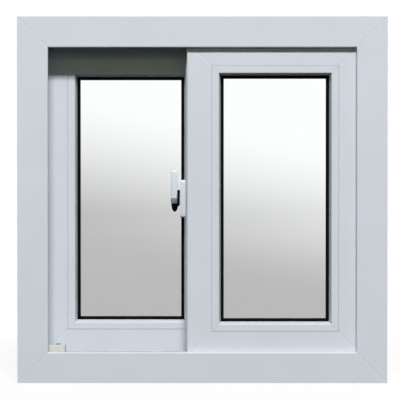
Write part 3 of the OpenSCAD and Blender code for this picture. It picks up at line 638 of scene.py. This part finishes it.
# Node: axis, side that the head faces, turn from +Z to that side, head height and shank radius in mm
SCREW_SETS = {
    "stop_block_screw": (Z, 1, (0, 0, 0), 2.8, 1.75),
    "lock_base_screws": (X, -1, (0, -math.pi / 2, 0), 2.4, 1.75),
    "keeper_screws": (Y, -1, (math.pi / 2, 0, 0), 1.6, 1.75),
    "front_roller_screws": (Z, -1, (math.pi, 0, 0), 1.6, 1.5),
    "rear_roller_screws": (Z, -1, (math.pi, 0, 0), 1.6, 1.5)}


def set_screws(node, axis, side, turn, head_height, shank_radius):
    """Grows a set of screws where the CAD has them."""
    boxes = solid_boxes(node)
    tops = []
    for low, high in boxes:
        spot = (low + high) / 2
        spot[axis] = high[axis] if side > 0 else low[axis]
        tops.append(spot)
    low, high = boxes[0]
    across = (axis + 1) % 3
    seed_mesh = bpy.data.meshes.new(node)
    seed_mesh.from_pydata(tops, [], [])
    mesh = grown(node, screw_tree, screw_ids, seed_mesh, {
        "Head Radius": (high[across] - low[across]) / 2, "Head Height": head_height * MM,
        "Shank Radius": shank_radius * MM, "Shank Length": high[axis] - low[axis] - head_height * MM,
        "Turn": turn, "Seed": SCREW_SEED, "Material": zinc_steel})
    body = frame["nodes"][node]["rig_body"]
    return show(node + "_cross_head", mesh, body, zinc_steel, [node])


for node, facts in SCREW_SETS.items():
    piece = set_screws(node, *facts)
    print(piece.name, len(piece.data.polygons), "faces")

# %% [markdown]
# ## Weather pile
#
# A pile strip is a flat woven backing with a brush of yarn standing on it. Hair could stand for the
# brush, but the export keeps only meshes. So Geometry Nodes grow thousands of thin cones: each strip's
# line is cut into points, each point is repeated across the brush, and a cone is set on each with a small
# seeded lean. The backing is one block for each strip, set on the points that carry a backing's size.

# %% Pile tree and its backing
pile_tree, pile_ids = new_tree("weather_pile", {
    "Geometry": "Geometry", "Spacing": "Float", "Rows": "Int", "Brush Thickness": "Float",
    "Fibre Radius": "Float", "Lean": "Float", "Seed": "Int", "Material": "Material"})
tree = pile_tree
given = add_node(tree, "NodeGroupInput")
brush = add_node(
    tree, "GeometryNodeInputNamedAttribute", {"data_type": "FLOAT_VECTOR", "Name": "brush"})
backing = add_node(
    tree, "GeometryNodeInputNamedAttribute", {"data_type": "FLOAT_VECTOR", "Name": "backing"})
backing_size = add_node(tree, "ShaderNodeVectorMath", {"operation": "LENGTH"}, {0: backing.outputs[0]})
is_backing = add_node(
    tree, "FunctionNodeCompare", {"operation": "GREATER_THAN", 1: 0.0}, {0: backing_size.outputs["Value"]})
block = add_node(tree, "GeometryNodeMeshCube", {"Size": (1.0, 1.0, 1.0)})
backings = add_node(
    tree, "GeometryNodeInstanceOnPoints",
    links={"Points": given.outputs["Geometry"], "Selection": is_backing.outputs[0],
           "Instance": block.outputs["Mesh"], "Scale": backing.outputs[0]})
print(pile_tree.name, "takes", ", ".join(pile_ids))

# %% [markdown]
# The brush is as wide as its rows of fibres. Each copy of a point steps sideways by its share of the
# rows, less the middle share, and a random jitter hides the rows.

# %% Points across the brush
ROW_MIDDLE_SHARE, JITTER_SHARE = 0.35, 0.12
lines = add_node(tree, "GeometryNodeMeshToCurve", links={"Mesh": given.outputs["Geometry"]})
cut = add_node(
    tree, "GeometryNodeCurveToPoints", {"mode": "LENGTH"},
    {"Curve": lines.outputs[0], "Length": given.outputs["Spacing"]})
rows = add_node(
    tree, "GeometryNodeDuplicateElements", {"domain": "POINT"},
    {"Geometry": cut.outputs["Points"], "Amount": given.outputs["Rows"]})
sideways = add_node(
    tree, "ShaderNodeVectorMath", {"operation": "CROSS_PRODUCT"},
    {0: cut.outputs["Tangent"], 1: brush.outputs[0]})
side_unit = add_node(tree, "ShaderNodeVectorMath", {"operation": "NORMALIZE"}, {0: sideways.outputs[0]})
share = add_node(
    tree, "ShaderNodeMath", {"operation": "DIVIDE"},
    {0: rows.outputs["Duplicate Index"], 1: given.outputs["Rows"]})
centred = add_node(
    tree, "ShaderNodeMath", {"operation": "SUBTRACT", 1: ROW_MIDDLE_SHARE}, {0: share.outputs[0]})
jitter = add_node(
    tree, "FunctionNodeRandomValue",
    {"data_type": "FLOAT", RANDOM_LOW: -JITTER_SHARE, RANDOM_HIGH: JITTER_SHARE},
    {"Seed": given.outputs["Seed"]})
spread = add_node(
    tree, "ShaderNodeMath", {"operation": "ADD"}, {0: centred.outputs[0], 1: jitter.outputs[RANDOM_OUT]})
aside = add_node(
    tree, "ShaderNodeMath", {"operation": "MULTIPLY"},
    {0: spread.outputs[0], 1: given.outputs["Brush Thickness"]})
offset = add_node(
    tree, "ShaderNodeVectorMath", {"operation": "SCALE"},
    {0: side_unit.outputs[0], "Scale": aside.outputs[0]})
placed = add_node(
    tree, "GeometryNodeSetPosition",
    links={"Geometry": rows.outputs["Geometry"], "Offset": offset.outputs[0]})
print("backing and points take", len(tree.nodes), "nodes")

# %% [markdown]
# A fibre is a cone with four sides, because there are thousands. It is a little under one unit long and
# is scaled by the length of the brush, so that a leaning fibre stays in the strip's space.

# %% Fibres
FIBRE_SIDES, FIBRE_SHARE, FIBRE_TIP = 4, 0.94, 0.03 * MM
# The Random Value node's sockets for vectors
VECTOR_LOW, VECTOR_HIGH = 0, 1
low_lean = add_node(tree, "ShaderNodeMath", {"operation": "MULTIPLY", 1: -1.0}, {0: given.outputs["Lean"]})
lean = add_node(
    tree, "FunctionNodeRandomValue", {"data_type": "FLOAT_VECTOR"},
    {VECTOR_LOW: low_lean.outputs[0], VECTOR_HIGH: given.outputs["Lean"], "Seed": given.outputs["Seed"]})
brush_unit = add_node(tree, "ShaderNodeVectorMath", {"operation": "NORMALIZE"}, {0: brush.outputs[0]})
leaning = add_node(
    tree, "ShaderNodeVectorMath", {"operation": "ADD"}, {0: brush_unit.outputs[0], 1: lean.outputs[0]})
stand = add_node(tree, "FunctionNodeAlignRotationToVector", {"axis": "Z"}, {"Vector": leaning.outputs[0]})
reach = add_node(tree, "ShaderNodeVectorMath", {"operation": "LENGTH"}, {0: brush.outputs[0]})
fibre_size = add_node(tree, "ShaderNodeCombineXYZ", {"X": 1.0, "Y": 1.0}, {"Z": reach.outputs["Value"]})
cone = add_node(
    tree, "GeometryNodeMeshCone",
    {"fill_type": "NGON", "Vertices": FIBRE_SIDES, "Radius Top": FIBRE_TIP, "Depth": FIBRE_SHARE},
    {"Radius Bottom": given.outputs["Fibre Radius"]})
fibres = add_node(
    tree, "GeometryNodeInstanceOnPoints",
    links={"Points": placed.outputs[0], "Instance": cone.outputs["Mesh"], "Rotation": stand.outputs[0],
           "Scale": fibre_size.outputs[0]})
strip = add_node(tree, "GeometryNodeJoinGeometry", links={"Geometry": backings.outputs[0]})
tree.links.new(fibres.outputs[0], strip.inputs["Geometry"])
whole = add_node(tree, "GeometryNodeRealizeInstances", links={"Geometry": strip.outputs[0]})
finished = add_node(
    tree, "GeometryNodeSetMaterial",
    links={"Geometry": whole.outputs[0], "Material": given.outputs["Material"]})
add_node(tree, "NodeGroupOutput", links={"Geometry": finished.outputs[0]})
print(pile_tree.name, "has", len(tree.nodes), "nodes")

# %% [markdown]
# Each strip's box gives its line: the long side is the run, and the brush points along Y, from the
# backing in the groove's wall towards the rib in the groove's middle. Real yarn is far finer and closer
# than these fibres, which are drawn coarse enough to show.

# %% Grow the pile
BACKING_THICKNESS = 1.6 * MM
PILE = {
    "Spacing": 1.4 * MM, "Rows": 3, "Brush Thickness": 2.2 * MM, "Fibre Radius": 0.55 * MM, "Lean": 0.08,
    "Seed": 11, "Material": pile_yarn}


def pile_seed(node, groove_y):
    """A seed mesh with a line and a backing point for every strip of a sash."""
    points, edges, brushes, backings_at = [], [], [], []
    for low, high in solid_boxes(node):
        size, middle = high - low, (low + high) / 2
        run = X if size.x > size.z else Z
        inward = 1 if middle.y < groove_y else -1
        wall = low.y if inward > 0 else high.y
        foot = wall + inward * BACKING_THICKNESS
        ends = []
        for end in (low[run], high[run]):
            spot = Vector((middle.x, foot, middle.z))
            spot[run] = end
            ends.append(spot)
        edges.append((len(points), len(points) + 1))
        points += ends + [Vector((middle.x, (wall + foot) / 2, middle.z))]
        brush_way = Vector((0, inward * (size.y - BACKING_THICKNESS), 0))
        brushes += [brush_way, brush_way, Vector()]
        backings_at += [Vector(), Vector(), Vector((size.x, BACKING_THICKNESS, size.z))]
    mesh = bpy.data.meshes.new(node)
    mesh.from_pydata(points, edges, [])
    for label, vectors in (("brush", brushes), ("backing", backings_at)):
        attribute = mesh.attributes.new(label, "FLOAT_VECTOR", "POINT")
        attribute.data.foreach_set("vector", [c for vector in vectors for c in vector])
    return mesh


for sash in ("front", "rear"):
    node = sash + "_pile_strips"
    low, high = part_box(node)
    mesh = grown(node, pile_tree, pile_ids, pile_seed(node, (low.y + high.y) / 2), PILE)
    piece = show(node + "_brush", mesh, sash + "_sash", pile_yarn, [node])
    print(piece.name, len(piece.data.polygons), "faces")

# %% [markdown]
# ## Camera
#
# The photograph was taken from a little above the window's middle, and its lines hardly converge. The eye
# stands 2.73 m in front of the frame. The lens could be found by trial, but the picture's width gives it:
# it spans 648 mm at the frame's face.

# %% Camera
EYE = Vector((-0.002, -2.774, 0.335))
TARGET = Vector((-0.0038, -0.044, 0.2971))
SPAN = 0.648
camera_data = bpy.data.cameras.new("camera")
camera_data.sensor_width = 36.0
camera_data.lens = camera_data.sensor_width * (TARGET - EYE).length / SPAN
camera = bpy.data.objects.new("camera", camera_data)
camera.location = EYE
camera.rotation_euler = (TARGET - EYE).to_track_quat("-Z", "Y").to_euler()
bpy.context.scene.collection.objects.link(camera)
bpy.context.scene.camera = camera
bpy.context.scene.view_settings.view_transform = "Standard"
print("lens", round(camera_data.lens, 1), "mm")

# %% [markdown]
# ## Light
#
# The head's shadow on the front sash is about as tall as the sash lies deep, so the light falls at 45
# degrees. The soft shade beside the left jamb shows that its source is wide. A sun lamp is as tall as it
# is wide, but the head's shadow has a sharper edge than the jamb's, so one wide and low softbox is used,
# a little to the right. It is only 10 m away, so the frame's foot is a little darker than its head.
# Weaker ones behind and at the left let the other sides be seen. They show in no reflection, and no lamp
# is seen through a pane. The powers are set so that a front face renders in the colour that it is written
# in.

# %% Softboxes
MIDDLE = Vector((0, 0, 0.3))


def softbox(name, away, width, height, power):
    """A rectangular lamp at an offset from the window's middle, turned to that middle."""
    lamp_data = bpy.data.lights.new(name, "AREA")
    lamp_data.shape = "RECTANGLE"
    lamp_data.size = width
    lamp_data.size_y = height
    lamp_data.energy = power
    lamp = bpy.data.objects.new(name, lamp_data)
    lamp.location = MIDDLE + away
    lamp.rotation_euler = (MIDDLE - lamp.location).to_track_quat("-Z", "Y").to_euler()
    lamp.visible_transmission = False
    bpy.context.scene.collection.objects.link(lamp)
    return lamp


KEY_RISE, KEY_ASIDE, KEY_FAR = math.radians(45), math.radians(4), 10.0
key_way = Vector((
    math.sin(KEY_ASIDE) * math.cos(KEY_RISE),
    -math.cos(KEY_ASIDE) * math.cos(KEY_RISE),
    math.sin(KEY_RISE)))
key = softbox("key_softbox", KEY_FAR * key_way, width=3.8, height=1.2, power=1168.0)
back = softbox("back_softbox", Vector((3.0, 9.0, 1.4)), width=6.0, height=2.4, power=700.0)
side = softbox("side_softbox", Vector((-9.0, 3.0, 1.6)), width=5.0, height=3.0, power=220.0)
for lamp in (back, side):
    lamp.visible_glossy = False
print("key at", [round(c, 2) for c in key.location])

# %% [markdown]
# ## Surroundings
#
# The photograph stands on pure white, but a white room all round would wash out every shade. So the world
# looks different to different rays. It is white for those that reach the eye straight, and it has a look
# of its own for those that come through glass or off a mirror. All other rays meet the fill light. Once
# light has met a matt surface it is fill, whatever it passes afterwards.

# %% World: what each ray is
world = bpy.data.worlds.new("white_studio")
bpy.context.scene.world = world
world.use_nodes = True
tree = world.node_tree
tree.nodes.clear()
path = add_node(tree, "ShaderNodeLightPath")
way = add_node(tree, "ShaderNodeTexCoord")
axes = add_node(tree, "ShaderNodeSeparateXYZ", links={0: way.outputs["Generated"]})
clean = add_node(
    tree, "ShaderNodeMath", {"operation": "LESS_THAN", 1: 0.5}, {0: path.outputs["Diffuse Depth"]})
seen_in_mirror = add_node(
    tree, "ShaderNodeMath", {"operation": "MULTIPLY"},
    {0: path.outputs["Is Glossy Ray"], 1: clean.outputs[0]})
seen_through = add_node(
    tree, "ShaderNodeMath", {"operation": "MULTIPLY"},
    {0: path.outputs["Is Transmission Ray"], 1: clean.outputs[0]})
print("rays are told apart by", len(tree.nodes), "nodes")

# %% [markdown]
# An even fill would be simplest. In the photograph, though, the shade under the head is darkest at the
# very top, where only light from near the horizon and below gets in. So the fill comes from a low band
# just above the horizon, and hardly anything from elsewhere.

# %% World: fill
FILL_LOW, FILL_BAND = 0.025, 0.78
# A little green and yellow, as the shade is
FILL_TINT = "#F2FFD8"
# The band's middle and its half width, as heights on a sphere of radius 1
BAND_RISE, BAND_HALF = 0.24, 0.2
off_band = add_node(tree, "ShaderNodeMath", {"operation": "SUBTRACT", 1: BAND_RISE}, {0: axes.outputs["Z"]})
off_size = add_node(tree, "ShaderNodeMath", {"operation": "ABSOLUTE"}, {0: off_band.outputs[0]})
band = add_node(
    tree, "ShaderNodeMapRange",
    {"interpolation_type": "SMOOTHSTEP", "From Max": BAND_HALF, "To Min": FILL_BAND, "To Max": FILL_LOW},
    {"Value": off_size.outputs[0]})
fill = add_node(
    tree, "ShaderNodeBackground", {"Color": linear(FILL_TINT)}, {"Strength": band.outputs[0]})
print("fill from", FILL_LOW, "to", FILL_BAND)

# %% [markdown]
# Behind the panes the photograph fades from white at the top to a mid grey at the bottom, slightly
# aslant. A printed sheet behind the window would stand in the way of other views, so rays that pass
# through glass meet a world that fades with their direction. What glass and metal mirror is dimmer, and
# dimmest on the room side, so that black stays black.

# %% World: through glass and in mirrors
# Which way the fade runs, where along that way it starts and ends, and how bright it is there
FADE_TILT = (0.21, 0.0, 1.0)
FADE_FOOT, FADE_TOP = -0.0586, 0.0362
FOOT_GREY, TOP_WHITE = 0.47, 1.04
# The same for what is mirrored, along Y: straight towards the room, and well away from it
ROOM_SIDE, PAST_ROOM = -0.9, -0.2
ROOM_GREY, PAST_GREY = 0.2, 0.35
# The Mix node's sockets for numbers
NUMBER_A, NUMBER_B = 2, 3
tilt = add_node(
    tree, "ShaderNodeVectorMath", {"operation": "DOT_PRODUCT", 1: FADE_TILT}, {0: way.outputs["Generated"]})
fade = add_node(
    tree, "ShaderNodeMapRange",
    {"interpolation_type": "SMOOTHSTEP", "From Min": FADE_FOOT, "From Max": FADE_TOP, "To Min": FOOT_GREY,
     "To Max": TOP_WHITE},
    {"Value": tilt.outputs["Value"]})
mirrored = add_node(
    tree, "ShaderNodeMapRange",
    {"interpolation_type": "SMOOTHSTEP", "From Min": ROOM_SIDE, "From Max": PAST_ROOM, "To Min": ROOM_GREY,
     "To Max": PAST_GREY},
    {"Value": axes.outputs["Y"]})
mirror_or_through = add_node(
    tree, "ShaderNodeMix", {"data_type": "FLOAT"},
    {FACTOR: seen_through.outputs[0], NUMBER_A: mirrored.outputs[0], NUMBER_B: fade.outputs[0]})
print("behind glass from", FOOT_GREY, "to", TOP_WHITE)

# %% [markdown]
# The last step joins the two: fill for the light that falls on things, and the backdrop for what is seen.

# %% World: joined
level = add_node(
    tree, "ShaderNodeMix", {"data_type": "FLOAT", NUMBER_B: 1.0},
    {FACTOR: path.outputs["Is Camera Ray"], NUMBER_A: mirror_or_through.outputs[0]})
backdrop = add_node(
    tree, "ShaderNodeBackground", {"Color": linear("#FFFFFF")}, {"Strength": level.outputs[0]})
any_seen = add_node(
    tree, "ShaderNodeMath", {"operation": "ADD"},
    {0: seen_in_mirror.outputs[0], 1: seen_through.outputs[0]})
seen = add_node(
    tree, "ShaderNodeMath", {"operation": "ADD", "use_clamp": True},
    {0: any_seen.outputs[0], 1: path.outputs["Is Camera Ray"]})
both = add_node(
    tree, "ShaderNodeMixShader",
    links={FACTOR: seen.outputs[0], SHADER_A: fill.outputs[0], SHADER_B: backdrop.outputs[0]})
add_node(tree, "ShaderNodeOutputWorld", links={"Surface": both.outputs[0]})
print("world:", world.name)

# %% [markdown]
# The floor is a pale sheet. A shadow catcher would need compositing, so its own material does the work:
# straight to the eye most of it is plain white, and the rest is lit for real. It keeps the window's
# shadow and melts into the background further out. It throws no light back up, because the undersides in
# the photograph are dark, and no pane shows it.

# %% Floor
FLOOR_REACH = 20.0
# The sheet lies a little under the sill, so that the two don't share a plane
FLOOR_DROP = 0.2 * MM
# Share of plain white near the window, and the distances between which it grows to all
NEAR_SHARE, NEAR, FAR = 0.84, 0.35, 1.1
shape = bmesh.new()
bmesh.ops.create_grid(shape, x_segments=1, y_segments=1, size=FLOOR_REACH)
floor_mesh = bpy.data.meshes.new("floor")
shape.to_mesh(floor_mesh)
shape.free()
floor = bpy.data.objects.new("floor", floor_mesh)
floor.location.z = -FLOOR_DROP
bpy.context.scene.collection.objects.link(floor)
# To the eye: white paper with a faint soft shadow
paper = blank_material("white_paper_floor")
tree = paper.node_tree
path = add_node(tree, "ShaderNodeLightPath")
place = add_node(tree, "ShaderNodeTexCoord")
distance = add_node(tree, "ShaderNodeVectorMath", {"operation": "LENGTH"}, {0: place.outputs["Object"]})
plain = add_node(
    tree, "ShaderNodeMapRange",
    {"interpolation_type": "SMOOTHSTEP", "From Min": NEAR, "From Max": FAR, "To Min": NEAR_SHARE,
     "To Max": 1.0},
    {"Value": distance.outputs["Value"]})
share = add_node(
    tree, "ShaderNodeMath", {"operation": "MULTIPLY"},
    {0: path.outputs["Is Camera Ray"], 1: plain.outputs[0]})
sheet = add_node(tree, "ShaderNodeBsdfDiffuse", {"Color": linear("#F2F2F2")})
glow = add_node(tree, "ShaderNodeEmission", {"Color": linear("#FFFFFF"), "Strength": 1.0})
both = add_node(
    tree, "ShaderNodeMixShader",
    links={FACTOR: share.outputs[0], SHADER_A: sheet.outputs[0], SHADER_B: glow.outputs[0]})
add_node(tree, "ShaderNodeOutputMaterial", links={"Surface": both.outputs[0]})
floor_mesh.materials.append(paper)
floor.visible_transmission = False
floor.visible_diffuse = False
print("floor:", paper.name)
